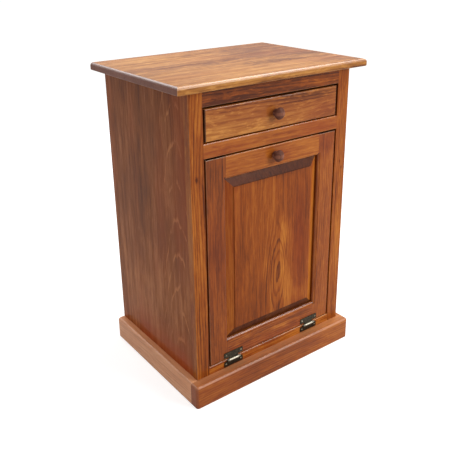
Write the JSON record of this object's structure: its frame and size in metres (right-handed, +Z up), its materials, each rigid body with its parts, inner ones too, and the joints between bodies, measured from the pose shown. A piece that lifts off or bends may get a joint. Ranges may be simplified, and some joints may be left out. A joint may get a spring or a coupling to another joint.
{
  "type": "tilt-out trash cabinet",
  "caption": "Free-standing pine kitchen cabinet with an overhanging top, an inset drawer and a raised-panel door that tilts out on bottom hinges to bring out a waste bin.",
  "frame": {"origin": "middle of the bounding box's footprint, on the floor", "axes": "+Z up, the front with the drawer and the door faces -Y, +X to the right of someone facing it"},
  "size_m": [0.571, 0.416, 0.817],
  "materials": {
    "top_wood": "satin lacquered stained pine",
    "side_wood": "satin lacquered stained pine",
    "frame_wood": "satin lacquered stained pine",
    "rail_wood": "satin lacquered stained pine",
    "base_wood": "satin lacquered stained pine",
    "base_side_wood": "satin lacquered stained pine",
    "drawer_wood": "satin lacquered stained pine",
    "door_wood": "satin lacquered stained pine",
    "door_rail_wood": "satin lacquered stained pine",
    "panel_wood": "satin lacquered stained pine",
    "inner_wood": "bare sanded pine",
    "plywood": "bare sanded plywood",
    "knob_wood": "dark stained, matt",
    "hinge_bronze": "dark antique bronze",
    "pin_steel": "bright plated steel",
    "screw_steel": "plated steel",
    "bin_plastic": "moulded, fine matt",
    "catch_plastic": "moulded, matt"
  },
  "bodies": {
    "case": {"top_board": "top_wood", "side_panel_left": "side_wood", "side_panel_right": "side_wood", "back_panel": "plywood", "floor_panel": "plywood", "floor_strips": "inner_wood", "front_top_cleat": "inner_wood", "rear_top_cleat": "inner_wood", "top_screws": "screw_steel", "frame_stile_left": "frame_wood", "frame_stile_right": "frame_wood", "frame_top_rail": "rail_wood", "frame_mid_rail": "rail_wood", "frame_bottom_rail": "rail_wood", "base_front_board": "base_wood", "base_side_board_left": "base_side_wood", "base_side_board_right": "base_side_wood", "drawer_runner_left": "inner_wood", "drawer_runner_right": "inner_wood", "drawer_kicker_left": "inner_wood", "drawer_kicker_right": "inner_wood", "drawer_stop_blocks": "inner_wood", "magnetic_catch": "catch_plastic", "catch_screws": "screw_steel", "hinge_case_leaf_left": "hinge_bronze", "hinge_case_leaf_right": "hinge_bronze", "hinge_pin_left": "pin_steel", "hinge_pin_right": "pin_steel", "hinge_case_screws": "screw_steel"},
    "drawer": {"drawer_front": "drawer_wood", "drawer_side_left": "inner_wood", "drawer_side_right": "inner_wood", "drawer_back": "inner_wood", "drawer_bottom": "plywood", "drawer_knob": "knob_wood", "drawer_knob_screw": "screw_steel", "drawer_stop_tab": "inner_wood", "drawer_stop_screw": "screw_steel"},
    "door": {"door_stile_left": "door_wood", "door_stile_right": "door_wood", "door_top_rail": "door_rail_wood", "door_bottom_rail": "door_rail_wood", "door_panel": "panel_wood", "door_knob": "knob_wood", "door_knob_screw": "screw_steel", "hinge_door_leaf_left": "hinge_bronze", "hinge_door_leaf_right": "hinge_bronze", "hinge_door_screws": "screw_steel", "strike_plate": "pin_steel", "strike_screws": "screw_steel", "bin_shelf": "plywood", "bin_rear_rail": "inner_wood", "bin_cheek_left": "plywood", "bin_cheek_right": "plywood", "cheek_batten_left": "inner_wood", "cheek_batten_right": "inner_wood", "batten_screws_left": "screw_steel", "batten_screws_right": "screw_steel", "waste_bin": "bin_plastic"}
  },
  "joints": [
    {"name": "drawer_slide", "type": "slide", "parent": "case", "child": "drawer", "axis": [0, -1, 0], "range_m": [0, 0.2587]},
    {"name": "door_tilt", "type": "hinge", "parent": "case", "child": "door", "pos_m": [0, -0.18335, 0.08285], "axis": [1, 0, 0], "range_deg": [0, 30]}
  ]
}
